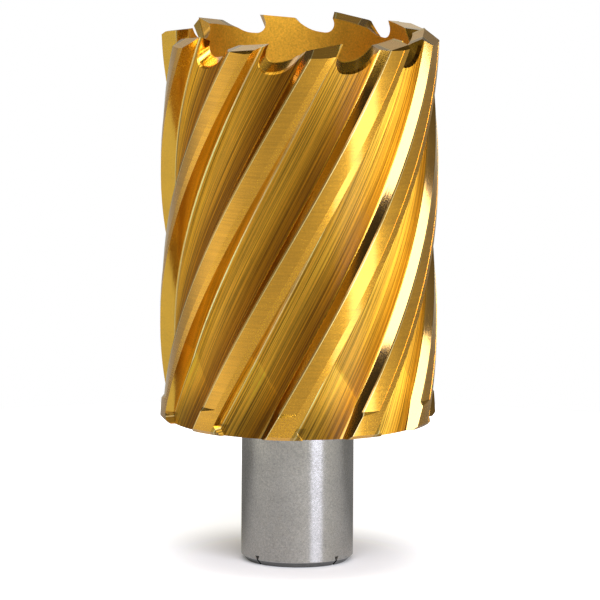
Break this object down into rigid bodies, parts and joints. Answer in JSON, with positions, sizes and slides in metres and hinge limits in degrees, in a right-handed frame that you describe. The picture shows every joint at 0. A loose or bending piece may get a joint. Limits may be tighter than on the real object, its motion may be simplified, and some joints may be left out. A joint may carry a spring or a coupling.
{
  "type": "annular cutter",
  "caption": "Hollow steel core drill with helical flutes, a toothed rim and a short round shank with clamping flats.",
  "frame": {"origin": "centre of the shank's end face, on which the cutter stands", "axes": "+Z along the cutter's axis from the shank's end to the teeth, -Y towards the front as the picture shows it, with the clamping flats at the back"},
  "size_m": [0.047, 0.047, 0.0913],
  "materials": {
    "cutter_steel": "ground steel with a gold nitride coat on the fluted body, and a bare ground shank"
  },
  "bodies": {
    "root": {"annular_cutter": "cutter_steel"}
  },
  "joints": []
}
